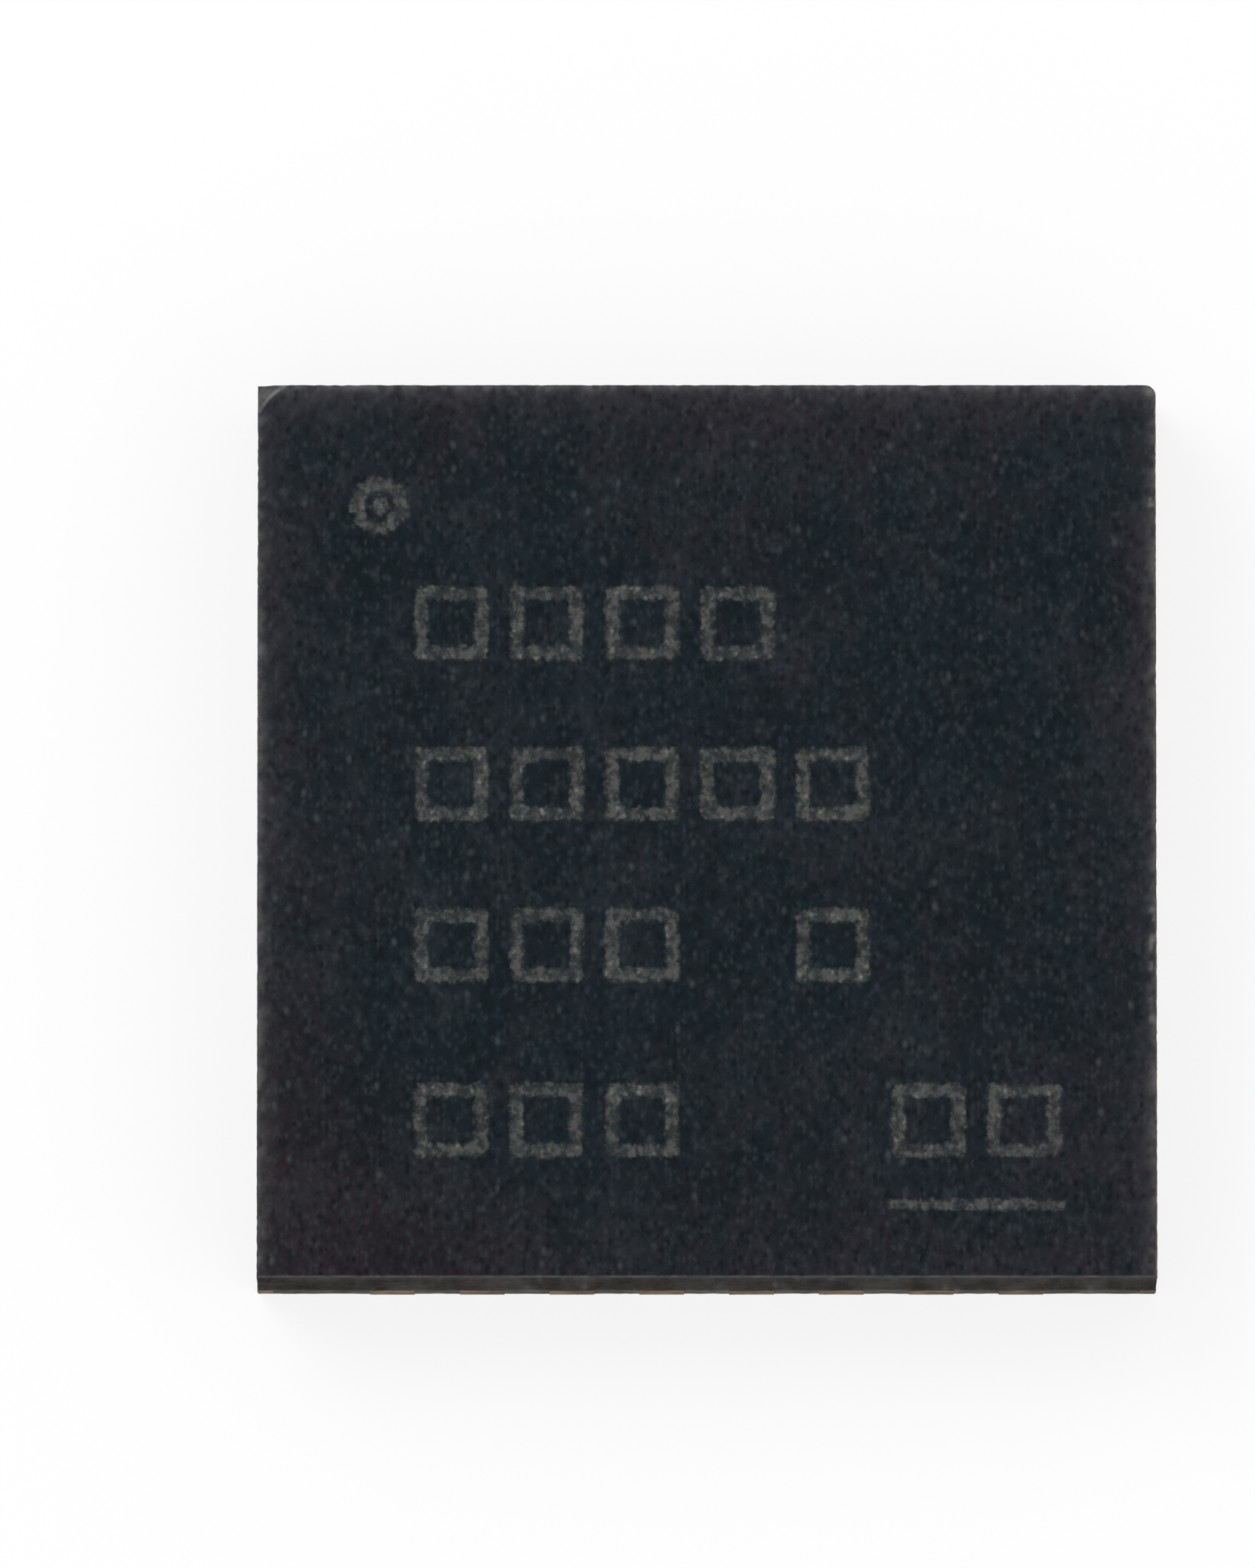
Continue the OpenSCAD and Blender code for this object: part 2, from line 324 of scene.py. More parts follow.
# The first finger of the south row gives the row's length, which is twice its distance from the middle
die_low, die_high = box_mm("die")
finger_low, finger_high = box_mm("lead_09")
body_low, body_high = box_mm("mould_body")
die_size = die_high - die_low
spread = np.linspace(-0.5, 0.5, SIDE_COUNT)
row = spread * -(finger_low[0] + finger_high[0])
for side, turn in SIDE_TURNS.items():
    die_row, die_depth = (die_size[1], die_size[0]) if side in ("west", "east") else die_size[:2]
    ball = paired(spread * (die_row - 2 * BALL_CORNER), BALL_INSET - die_depth / 2)
    toe = paired(row, finger_high[1] - STITCH_INSET - STITCH_LENGTH)
    run = np.linalg.norm(toe - ball, axis=1)
    onward = (toe - ball) / run[:, None]

    # Knots of the loop as distance along the run and height: neck, top, middle of the span, heel and toe
    neck = paired(np.zeros_like(run), die_high[2] + BALL_HEIGHTS[-1])
    top = paired(np.full_like(run, LOOP_LEAN), die_high[2] + LOOP_RISE)
    heel = paired(run - STITCH_LENGTH, finger_high[2] + WIRE_RADIUS)
    end = paired(run, finger_high[2] + STITCH_HALF_HEIGHT)
    middle = (top + heel) / 2 + [0, LOOP_BOW]
    loop = through(np.stack([neck, top, middle, heel, end], 1), LOOP_STATIONS)
    stem = np.zeros((SIDE_COUNT, len(BALL_HEIGHTS) - 1, 2))
    stem[..., 1] = die_high[2] + BALL_HEIGHTS[:-1]
    line = np.concatenate([stem, loop], 1)

    # Each section stands square to the line. Over the stitch, the last span of the loop, it is pressed flat.
    slope = np.gradient(line, axis=1)
    slope /= np.linalg.norm(slope, axis=2, keepdims=True)
    pressing = np.clip(np.linspace(0, LOOP_SPANS, LOOP_STATIONS) - (LOOP_SPANS - 1), 0, 1)
    half_width, half_height = (
        np.concatenate([BALL_RADII[:-1], WIRE_RADIUS + pressing * (flat - WIRE_RADIUS)])
        for flat in (STITCH_HALF_WIDTH, STITCH_HALF_HEIGHT))
    angle = np.linspace(0, 2 * np.pi, WIRE_CORNERS, endpoint=False)
    across = half_width[:, None] * np.cos(angle)
    up = half_height[:, None] * np.sin(angle)
    along = line[:, :, None, 0] - up * slope[:, :, None, 1]
    height = line[:, :, None, 1] + up * slope[:, :, None, 0]
    right = np.stack([onward[:, 1], -onward[:, 0]], -1)
    plan = ball[:, None, None] + along[..., None] * onward[:, None, None]
    plan = plan + across[..., None] * right[:, None, None]
    rings = np.concatenate([plan, height[..., None]], -1)
    wires = piece("gold_wires_" + side, *loft(turned(rings, turn)), gold)
    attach(wires, "root")
    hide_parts("bond_wires_" + side)


# Moulded body: black epoxy compound full of ground silica, pressed round the frame as part of a large sheet,
# laser-marked on its top, and sawn out of the sheet. It wears at its edges and at two top corners.
TOP_CELLS = 270
SAW_RECESS = 0.003
EDGE_ROUND = 0.014
EDGE_STEPS = 4
EDGE_CHIPS = 0.0012
EDGE_CHIP_FADE = 4
SIDE_LEVELS = np.array([0.012, 0.04, 0.1, 0.2, 0.33, 0.46, 0.6, 0.74, 0.87, 1.0])
SIDE_GRAIN = 0.0010
FOOT_ROUND = 0.008
FOOT_INSETS = FOOT_ROUND * np.array([0.3, 1.0, 8.0, 40.0, 120.0])
FOOT_RISES = FOOT_ROUND * np.array([0.3, 0.0, 0.0, 0.0, 0.0])
GRAIN = 0.0006
GRAIN_LIMIT = 3
PIT_DEPTH = 0.0035
PIT_SPREADS = (2.2, 3.2)
MARK_DEPTH = 0.009
MARK_BLUR = 0.03
MARK_FRAY = 0.006
MARK_GRAIN = 0.0016
MARK_REACH = 0.1
STROKE = 0.068
RING_CENTRE = np.array([-1.82, 1.82])
RING_RADIUS = 0.122
DOT_RADIUS = 0.045
SQUARE_HALF = 0.2
SQUARE_PITCH = 0.53
FIRST_SQUARE = -1.42
SQUARE_ROWS = {1.16: (0, 1, 2, 3), 0.26: (0, 1, 2, 3, 4), -0.64: (0, 1, 2, 4), -1.62: (0, 1, 2, 5, 6)}
BAR_ENDS = (1.03, 1.96)
BAR_LEVEL = -2.09
BAR_STROKE = 0.055
NORTHWEST_CENTRE = 0.30
NORTHWEST_ARC = 0.323
NORTHWEST_SLOPE = 0.65
NORTHEAST_CENTRE = 0.10
NORTHEAST_ARC = 0.10
NORTHEAST_SLOPE = 0.5
NORTHEAST_ROUND = 0.06
NORTHEAST_DEPTH = 0.35
SEED = 32

rng = np.random.default_rng(SEED)


def grained(shape, down, across):
    """Normal random numbers, smoothed by so many passes of a 1-2-1 filter along each axis, of unit spread."""
    field = rng.standard_normal(shape)
    for axis, passes in ((0, down), (1, across)):
        for _ in range(passes):
            field = 0.5 * field + 0.25 * (np.roll(field, 1, axis) + np.roll(field, -1, axis))
    return field / field.std()


def step(low, high, x):
    """The smooth step 3t2 - 2t3 while x goes from low to high."""
    t = np.clip((x - low) / (high - low), 0, 1)
    return t * t * (3 - 2 * t)


def past_arc(from_side, from_back, centre, radius):
    """How far points lie outside an arc that cuts off a corner, from their distances to its two sides:
    the distance to the arc's centre, which is as far from both sides, less the radius."""
    return np.hypot(np.maximum(centre - from_side, 0), np.maximum(centre - from_back, 0)) - radius


# The top as a square grid, with the distance of every point to the nearest stroke of the marking
half = body_high[0] - SAW_RECESS
reach = half - EDGE_ROUND
ticks = np.linspace(-reach, reach, TOP_CELLS + 1)
x, y = np.meshgrid(ticks, ticks)
place = np.stack([x, y], -1)
from_ring = np.linalg.norm(place - RING_CENTRE, axis=-1)
squares = np.array([
    [FIRST_SQUARE + SQUARE_PITCH * column, level]
    for level, columns in SQUARE_ROWS.items() for column in columns])
past = np.abs(place[None] - squares[:, None, None]) - (SQUARE_HALF - STROKE / 2)
from_squares = np.linalg.norm(np.maximum(past, 0), axis=-1) + np.minimum(past.max(-1), 0)
from_bar = np.hypot(x - np.clip(x, *BAR_ENDS), y - BAR_LEVEL)
stroke = np.minimum.reduce([
    np.abs(from_ring - RING_RADIUS) - STROKE / 2,
    from_ring - DOT_RADIUS,
    np.abs(from_squares).min(0) - STROKE / 2,
    from_bar - BAR_STROKE / 2,
    np.full(x.shape, MARK_REACH)])

# Its height: grain, pits, frosted strokes and two corners that fall away outside an arc
streaks = grained(x.shape, down=2, across=1)
pits = step(*PIT_SPREADS, grained(x.shape, down=1, across=1))
mark = step(MARK_BLUR / 2, -MARK_BLUR / 2, stroke + MARK_FRAY * grained(x.shape, down=1, across=1))
past_northwest = past_arc(half + x, half - y, NORTHWEST_CENTRE, NORTHWEST_ARC)
past_northeast = past_arc(half - x, half - y, NORTHEAST_CENTRE, NORTHEAST_ARC)
fall = np.maximum(np.maximum(NORTHWEST_SLOPE * past_northwest, NORTHEAST_SLOPE * past_northeast), 0)
z = body_high[2] - GRAIN * (GRAIN_LIMIT - streaks.clip(-GRAIN_LIMIT, GRAIN_LIMIT)) - PIT_DEPTH * pits - fall
z -= mark * (MARK_DEPTH + MARK_GRAIN * grained(x.shape, down=0, across=0).clip(-GRAIN_LIMIT, GRAIN_LIMIT))

# Rings carry the top's border round the edge, down the sawn side with its saw lines, and under the body
border = np.concatenate([
    np.arange(TOP_CELLS),
    np.arange(TOP_CELLS) * (TOP_CELLS + 1) + TOP_CELLS,
    TOP_CELLS * (TOP_CELLS + 2) - np.arange(TOP_CELLS),
    (TOP_CELLS - np.arange(TOP_CELLS)) * (TOP_CELLS + 1)])
around = len(border)
outline = place.reshape(-1, 2)[border] / reach
edge_turn = np.linspace(0, np.pi / 2, EDGE_STEPS + 1)[1:, None]
chips = EDGE_CHIPS * np.abs(grained((1, around), down=0, across=1)) * np.sin(edge_turn)
edge_inset = EDGE_ROUND * (1 - np.sin(edge_turn)) + chips
edge_z = z.ravel()[border] - EDGE_ROUND * (1 - np.cos(edge_turn))
down = SIDE_LEVELS[:, None]
saw_grain = SIDE_GRAIN * np.abs(grained((len(down), around), down=0, across=4))
side_inset = saw_grain + chips[-1:] * (1 - down) ** EDGE_CHIP_FADE
side_z = edge_z[-1:] * (1 - down) + (body_low[2] + FOOT_ROUND) * down
foot_inset = FOOT_INSETS[:, None] + np.zeros(around)
foot_z = body_low[2] + FOOT_RISES[:, None] + np.zeros(around)
inset = np.concatenate([edge_inset, side_inset, foot_inset])
ring_z = np.concatenate([edge_z, side_z, foot_z])
rings = np.concatenate([outline * (half - inset)[..., None], ring_z[..., None]], -1)
points = np.concatenate([
    np.stack([x, y, z], -1).reshape(-1, 3), rings.reshape(-1, 3), [[0, 0, body_low[2]]]])

# The north-east corner is rubbed round in plan too: squares about its arc's centre become quarter circles
offset = np.maximum(points[:, :2] - (half - NORTHEAST_ROUND), 0)
length = np.linalg.norm(offset, axis=1)
rounder = np.divide(offset.max(1), length, out=np.ones_like(length), where=length > 0)
rubbed = step(body_high[2] - NORTHEAST_DEPTH, body_high[2], points[:, 2])
points[:, :2] += offset * ((rounder - 1) * rubbed * (offset.min(1) > 0))[:, None]

# Faces: the grid's, then those between the rings, then the fan under the paddle
first = (np.arange(TOP_CELLS)[:, None] * (TOP_CELLS + 1) + np.arange(TOP_CELLS)).ravel()
top_quads = np.stack([first, first + 1, first + TOP_CELLS + 2, first + TOP_CELLS + 1], -1)
ring_at = np.concatenate([border[None], x.size + np.arange(rings.size // 3).reshape(len(rings), around)])
after = np.roll(ring_at, -1, 1)
side_quads = np.stack([ring_at[1:], after[1:], after[:-1], ring_at[:-1]], -1).reshape(-1, 4)
fan = np.stack([after[-1], ring_at[-1], np.full(around, len(points) - 1)], -1)

# What is pale, as shares: the rounded edges and a halo inside them, partly rubbed compound and partly painted
# highlight where the edges catch the light, most of all on high spots of the grain, the rubbed north-east
# corner, and nicks along the east edge, given by their place and half length
EDGE_WEAR_AND_HIGHLIGHT = {"south": 0.35, "east": 0.48, "north": 0.2, "west": 0.28}
EDGE_WEAR_AND_HIGHLIGHT_DOWN = np.array([0.8, 1.0, 0.9, 0.6, 0.35, 0.15, 0.06])
EDGE_HALOS = {0.026: 0.2, 0.1: 0.055}
HALO_SIDES = {"south": 0.0, "east": 1.0, "north": 1.0, "west": 1.0}
HIGH_SPOTS = (-0.9, 0.9)
HIGH_SPOT_PALING = (0.55, 1.45)
EAST_NICKS = {-1.0: 0.09, -0.62: 0.24, 1.84: 0.04}
NICK_WEAR = 0.9
NICK_DEPTH = 0.05
NICK_FULL_SHARE = 0.6
NORTHEAST_WEAR_REACH = 0.13
NORTHEAST_WEAR_RATIO = 1.2
EDGE_WARMTH = {"south": 0.55, "east": 0.6, "north": 1.0, "west": 0.7}
EDGE_WARMTH_WIDTH = 0.25


def carried(values, beneath):
    """Numbers for the body's points: those of the top, carried down from its border, and the one beneath."""
    return np.concatenate([values.ravel(), np.tile(values.ravel()[border], len(rings)), [beneath]])


inward = np.stack([reach + y, reach - x, reach - y, reach + x])
edge_wear_and_highlight, halo_sides, edge_warmth = (
    np.array(list(of_side.values()))[:, None, None] for of_side in (EDGE_WEAR_AND_HIGHLIGHT, HALO_SIDES, EDGE_WARMTH))
halo = sum(strength * np.exp(-inward / width) for width, strength in EDGE_HALOS.items())
high_spots = step(*HIGH_SPOTS, streaks)
spot_paling = HIGH_SPOT_PALING[0] + (HIGH_SPOT_PALING[1] - HIGH_SPOT_PALING[0]) * high_spots
from_corner = np.hypot(NORTHEAST_WEAR_RATIO * (half - x), half - y)
nicks = sum(step(far, NICK_FULL_SHARE * far, np.abs(y - middle)) for middle, far in EAST_NICKS.items())
nicks *= high_spots * step(NICK_DEPTH, 0.0, inward[1])
grid_wear_and_highlight = np.maximum.reduce([
    spot_paling * (halo_sides * halo).max(0), step(NORTHEAST_WEAR_REACH, 0.0, from_corner), NICK_WEAR * nicks])
edge_fade = np.pad(EDGE_WEAR_AND_HIGHLIGHT_DOWN, (0, len(rings) - len(EDGE_WEAR_AND_HIGHLIGHT_DOWN)))
ring_wear_and_highlight = edge_fade[:, None] * np.maximum(np.repeat(edge_wear_and_highlight, TOP_CELLS), grid_wear_and_highlight.ravel()[border])
point_values = {
    "stroke": np.concatenate([stroke.ravel(), np.full(len(points) - x.size, MARK_REACH)]),
    "wear_and_highlight": np.concatenate([grid_wear_and_highlight.ravel(), ring_wear_and_highlight.ravel(), [0]]),
    "warmth": carried((edge_warmth * np.exp(-inward / EDGE_WARMTH_WIDTH)).max(0), 0),
    "chip": carried(past_northwest.clip(-MARK_REACH, MARK_REACH), -MARK_REACH)}

# Finish of the top: teal compound that turns plum at the edges and mauve in the south-west, mottled, with
# pale silica, dark pits and sparse flecks, then the frosted marking, and over all of it what is rubbed pale,
# with a painted highlight along the edges
COMPOUND_DARK = "#0a1014"
COMPOUND_TEAL = "#121d23"
COMPOUND_PLUM = "#252229"
COMPOUND_MAUVE = "#241a1e"
COMPOUND_PALE = "#343a3e"
COMPOUND_FLECK = "#4f5457"
COMPOUND_WORN_AND_HIGHLIT = "#7f7f7e"
COMPOUND_TAN = "#8f7d70"
COMPOUND_FROSTED = "#4f504e"
COMPOUND_FROST_SPECK = "#73746f"
DRIFT = (0.7, 0.5, 0.7)
DRIFT_SPAN = (0.42, 0.68, -0.1, 0.3)
PATCHES = (4.0, 3.0, 4.0)
PATCH_SPAN = (0.34, 0.66, -0.2, 0.4)
SOUTHWEST_SPAN = (-2.6 * MM, -4.4 * MM, 0.0, 0.6)
SHADES = (3.0, 2.2, 3.0)
SHADE_DARK = (0.5, 0.3, 0.0, 0.3)
SHADE_PALE = (0.5, 0.7, 0.0, 0.15)
TOP_GRAIN = (22.0, 15.0, 22.0)
TOP_GRAIN_DARK = (0.5, 0.28, 0.0, 0.8)
TOP_GRAIN_PALE = (0.5, 0.75, 0.0, 0.5)
TOP_SILICA = ((30.0, 20.0, 30.0), 0.65, 0.35, 0.45)
TOP_PITS = ((27.0, 18.0, 27.0), 0.65, 0.3, 0.85)
TOP_FLECKS = ((12.0, 8.0, 12.0), 0.3, 0.24, 0.4)
TOP_ROUGHNESS = (0.55, 0.7)
TOP_RELIEF = 0.0012
FROST_GRAIN = (24.0, 20.0, 24.0)
FROST_GRAIN_MIDDLE = 0.5
FROST_FRAY = 0.06
FROST_EDGE = (0.016, -0.016)
FROST_COVER = (0.62, 0.32, 0.25, 1.0)
FROST_SPECKS = ((26.0, 22.0, 26.0), 0.55, 0.4)
FACET_SPAN = (-0.006, 0.01, 0.0, 0.4)
CREASE_INNER = (-0.016, 0.004)
CREASE_OUTER = (0.034, 0.004, 0.0, 0.75)
RUBBING = (15.0, 15.0, 15.0)
RUBBING_SHARE = (0.5, 1.0)
TAN_SPAN = (2.48 * MM, 2.49 * MM)


def painted(tree, name):
    """A number that the mesh carries at its points."""
    return put(tree, "Attribute", attribute_name=name).outputs["Fac"]


def own_axes(tree):
    """The three coordinates of a place in its piece's own frame, in metres."""
    return put(tree, "SeparateXYZ", {0: put(tree, "TexCoord").outputs["Object"]}).outputs


top_finish, tree, sockets = finish("marked_compound", Specular_IOR_Level=0.06)
drift = eased(tree, blotched(tree, DRIFT), *DRIFT_SPAN)
patches = eased(tree, blotched(tree, PATCHES), *PATCH_SPAN)
plum = maths(tree, "ADD", painted(tree, "warmth"), maths(tree, "ADD", drift, patches))
east, north, _ = own_axes(tree)
southwest = eased(tree, maths(tree, "ADD", east, north), *SOUTHWEST_SPAN)
shade = blotched(tree, SHADES)
grain = blotched(tree, TOP_GRAIN)
frost_grain = blotched(tree, FROST_GRAIN)
fray = maths(tree, "MULTIPLY", maths(tree, "SUBTRACT", frost_grain, FROST_GRAIN_MIDDLE), FROST_FRAY)
frayed = eased(tree, maths(tree, "ADD", painted(tree, "stroke"), fray), *FROST_EDGE)
frost = maths(tree, "MULTIPLY", frayed, eased(tree, frost_grain, *FROST_COVER))
frosted = layered(tree, COMPOUND_FROSTED, (flecked(tree, *FROST_SPECKS), COMPOUND_FROST_SPECK))
chip = painted(tree, "chip")
facet = eased(tree, chip, *FACET_SPAN)
crease = maths(tree, "MULTIPLY", eased(tree, chip, *CREASE_INNER), eased(tree, chip, *CREASE_OUTER))
# Pale share: rubbed places, the chip's facet and crease, and the painted highlight along the edges
worn_and_highlit = maths(tree, "MAXIMUM", painted(tree, "wear_and_highlight"), maths(tree, "MAXIMUM", facet, crease))
uneven = eased(tree, blotched(tree, RUBBING), *NOISE_SPAN, *RUBBING_SHARE)
worn_and_highlit_colour = layered(tree, COMPOUND_WORN_AND_HIGHLIT, (eased(tree, east, *TAN_SPAN), COMPOUND_TAN))
ground = layered(
    tree, COMPOUND_TEAL,
    (plum, COMPOUND_PLUM),
    (southwest, COMPOUND_MAUVE),
    (eased(tree, shade, *SHADE_DARK), COMPOUND_DARK),
    (eased(tree, shade, *SHADE_PALE), COMPOUND_PALE),
    (eased(tree, grain, *TOP_GRAIN_DARK), COMPOUND_DARK),
    (eased(tree, grain, *TOP_GRAIN_PALE), COMPOUND_PALE),
    (flecked(tree, *TOP_SILICA), COMPOUND_PALE),
    (flecked(tree, *TOP_PITS), COMPOUND_DARK),
    (flecked(tree, *TOP_FLECKS), COMPOUND_FLECK),
    (frost, frosted),
    (maths(tree, "MULTIPLY", worn_and_highlit, uneven), worn_and_highlit_colour))
join(tree, sockets, {
    "Base Color": ground,
    "Roughness": eased(tree, grain, *NOISE_SPAN, *TOP_ROUGHNESS),
}, grain, TOP_RELIEF)

# Finish of the sawn sides: dark bands with cut silica, lines along the saw's way and short scuffs across it,
# and a paler foot where the blade dragged copper over the compound
SAWN_BROWN = "#191817"
SAWN_GREY = "#2d2b29"
SAWN_SILICA = "#4c4844"
SAWN_SMEAR = "#6a635b"
SAWN_SCUFF = "#5d5b58"
SAW_BANDS = (7.0, 7.0, 0.9)
SAW_BAND_SPAN = (0.28, 0.72)
SAW_LINES = (3.0, 3.0, 45.0)
SAW_LINE_SPAN = (0.5, 0.75, 0.0, 0.5)
SAWN_FINES = ((55.0, 55.0, 55.0), 0.65, 0.5, 0.4)
SAWN_GRAINS = ((19.0, 19.0, 19.0), 0.36, 0.2)
SCUFFS = ((16.0, 16.0, 1.4), 0.45, 0.3, 0.2)
SCUFF_POLISH = 0.5
SMEARS = (9.0, 9.0, 22.0)
SMEAR_SPAN = (0.34, 0.66, 0.35, 0.75)
SMEAR_HEIGHTS = (0.44 * MM, 0.28 * MM)
SMEAR_RAGGED = 0.3 * MM
SMEAR_POLISH = 0.2
SIDE_ROUGHNESS = (0.82, 0.65)
SIDE_RELIEF = 0.003

side_finish, tree, sockets = finish("sawn_compound", Specular_IOR_Level=0.02)
saw_lines = blotched(tree, SAW_LINES)
bands = blotched(tree, SAW_BANDS)
scuffs = flecked(tree, *SCUFFS)
ragged = maths(tree, "ADD", own_axes(tree)[2], maths(tree, "MULTIPLY", saw_lines, SMEAR_RAGGED))
dragged = eased(tree, blotched(tree, SMEARS), *SMEAR_SPAN)
smeared = maths(tree, "MULTIPLY", eased(tree, ragged, *SMEAR_HEIGHTS), dragged)
scuff_polish = maths(tree, "MULTIPLY", scuffs, SCUFF_POLISH)
polish = maths(tree, "ADD", scuff_polish, maths(tree, "MULTIPLY", smeared, SMEAR_POLISH))
cut = layered(
    tree, SAWN_BROWN,
    (eased(tree, bands, *SAW_BAND_SPAN), SAWN_GREY),
    (flecked(tree, *SAWN_FINES), SAWN_SILICA),
    (flecked(tree, *SAWN_GRAINS), SAWN_SILICA),
    (eased(tree, saw_lines, *SAW_LINE_SPAN), SAWN_SILICA),
    (scuffs, SAWN_SCUFF),
    (smeared, SAWN_SMEAR),
    # Pale along the top of the sides, partly rubbed compound and partly painted highlight along the edge
    (painted(tree, "wear_and_highlight"), COMPOUND_WORN_AND_HIGHLIT))
join(tree, sockets, {
    "Base Color": cut,
    "Roughness": maths(tree, "SUBTRACT", eased(tree, bands, *NOISE_SPAN, *SIDE_ROUGHNESS), polish),
}, saw_lines, SIDE_RELIEF)

# Finish of the underside: smooth compound as it came out of the mould, with a little dust
UNDERSIDE_BLUE = "#0f161c"
UNDERSIDE_GREY = "#1c2328"
SKIN = (5.0, 5.0, 5.0)
SKIN_SPAN = (0.35, 0.7)
SKIN_ROUGHNESS = (0.4, 0.55)
SKIN_GRAIN = (30.0, 30.0, 30.0)
SKIN_RELIEF = 0.0008
DUST = ((7.0, 7.0, 7.0), 0.12, 0.2)

under_finish, tree, sockets = finish("moulded_compound", Specular_IOR_Level=0.08)
skin = blotched(tree, SKIN)
skin_coats = (eased(tree, skin, *SKIN_SPAN), UNDERSIDE_GREY), (flecked(tree, *DUST), COMPOUND_FLECK)
join(tree, sockets, {
    "Base Color": layered(tree, UNDERSIDE_BLUE, *skin_coats),
    "Roughness": eased(tree, skin, *NOISE_SPAN, *SKIN_ROUGHNESS),
}, blotched(tree, SKIN_GRAIN), SKIN_RELIEF)

finishes = (top_finish, side_finish, under_finish)
body = piece("moulded_body", points, np.concatenate([top_quads, side_quads]), fan, *finishes)
ring_finish = [0] * EDGE_STEPS + [1] * (len(SIDE_LEVELS) + 1) + [2] * (len(FOOT_INSETS) - 1)
face_finish = np.concatenate([np.zeros(len(top_quads)), np.repeat(ring_finish, around), np.full(around, 2)])
body.data.polygons.foreach_set("material_index", face_finish.astype(np.int32))
for label, values in point_values.items():
    body.data.attributes.new(label, "FLOAT", "POINT").data.foreach_set("value", values.astype(np.float32))
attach(body, "root")
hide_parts("mould_body")


# Plating: matt tin on the 32 lands and on the exposed pad, deposited on the bare copper under the body.
# Each layer is a low pillow that stands below the compound, and all of them rest on the floor.
LAND_WIDTH = 0.25
LAND_LENGTH = 0.4
LAND_POINTS = (8, 12, 22, 12)
PILLOW_SCALES = np.array([1.0, 1.0, 0.995, 0.98, 0.95, 0.86, 0.7, 0.45, 0.2])
PILLOW_HEIGHTS = np.array([1.0, 0.45, 0.2, 0.06, 0.0, 0.0, 0.0, 0.0, 0.0])
# Share of the painted highlight that each ring of a pillow carries on its rounded rim
PILLOW_HIGHLIGHT_SHARES = np.array([1.0, 1.0, 1.0, 1.0, 0.9, 0.45, 0.1, 0.0, 0.0])
PAD_CHAMFER = 0.3
PAD_POINTS = 46
PAD_RIM_SCALES = np.array([1.0, 1.0, 0.999, 0.997, 0.993])
PAD_INNER_SCALES = np.linspace(0.985, 0.02, 30)
TIN_RAGGED = 0.003
TIN_DENT = 0.0012
TIN_DENTS_WITHIN = 0.9
TIN_BLUE = "#959fa6"
TIN_GREEN = "#adb0a9"
TIN_BRIGHT = "#d8d8d1"
# Painted highlight on the rounded rim of the tin, where it would catch the light
TIN_PAINTED_HIGHLIGHT = "#e0dacd"
TIN_STAIN = "#565a59"
# Painted shade on the outer ends of the lands, where the tin rounds down at the sawn side
TIN_PAINTED_SHADE = "#4f4a45"
TIN_CLOUDS = (9.0, 9.0, 9.0)
TIN_CLOUD_SPAN = (0.38, 0.62)
TIN_CRYSTALS = (24.0, 24.0, 24.0)
TIN_CRYSTAL_SPAN = (0.44, 0.7, 0.0, 0.85)
TIN_STAINS = (6.0, 6.0, 6.0)
TIN_STAIN_SPAN = (0.55, 0.7, 0.0, 0.7)
TIN_HIGHLIGHT_SPAN = (0.35, 0.6, 0.3, 0.9)
TIN_SHADE_PLACE = (2.44 * MM, 2.48 * MM)
TIN_SHADE_SPAN = (0.4, 0.6, 0.3, 0.9)
TIN_ROUGHNESS = (0.6, 0.4)
TIN_RELIEF = 0.002

tin, tree, sockets = finish("matt_tin", Metallic=0.85)
crystals = blotched(tree, TIN_CRYSTALS)
clouds = blotched(tree, TIN_CLOUDS)
# Painted highlight along the rounded rim of each pillow, patchy by the clouds
painted_rim_highlight = maths(tree, "MULTIPLY", painted(tree, "rim"), eased(tree, clouds, *TIN_HIGHLIGHT_SPAN))
outward = (maths(tree, "ABSOLUTE", axis, 0.0) for axis in own_axes(tree)[:2])
# Painted shade at the sawn ends of the lands, patchy by the clouds, where the tin slopes down away from the
# light
shaded_sawn_end = eased(tree, maths(tree, "MAXIMUM", *outward), *TIN_SHADE_PLACE)
plated = layered(
    tree, TIN_BLUE,
    (eased(tree, clouds, *TIN_CLOUD_SPAN), TIN_GREEN),
    (eased(tree, crystals, *TIN_CRYSTAL_SPAN), TIN_BRIGHT),
    (eased(tree, blotched(tree, TIN_STAINS), *TIN_STAIN_SPAN), TIN_STAIN),
    (painted_rim_highlight, TIN_PAINTED_HIGHLIGHT),
    (maths(tree, "MULTIPLY", shaded_sawn_end, eased(tree, clouds, *TIN_SHADE_SPAN)), TIN_PAINTED_SHADE))
join(tree, sockets, {
    "Base Color": plated,
    "Roughness": eased(tree, crystals, *NOISE_SPAN, *TIN_ROUGHNESS),
}, crystals, TIN_RELIEF)


def pillow(outline, scales, heights, copies):
    """Stacks of one outline, drawn in unevenly and shrunk to each scale about its middle, at each share of
    the tin's thickness above the floor, with dents on the lower face that leave its rim alone."""
    rings = np.zeros((copies, len(scales), len(outline), 3))
    ragged = TIN_RAGGED * np.abs(grained((copies, len(outline)), down=0, across=1))
    drawn_in = ragged / np.linalg.norm(outline, axis=1)
    rings[..., :2] = scales[:, None, None] * (outline * (1 - drawn_in)[..., None])[:, None]
    dents = np.abs(grained((copies * len(scales), len(outline)), down=0, across=2)).reshape(rings.shape[:3])
    dents *= (scales < TIN_DENTS_WITHIN)[:, None]
    rings[..., 2] = heights[:, None] * tin_thickness + TIN_DENT * dents
    return rings


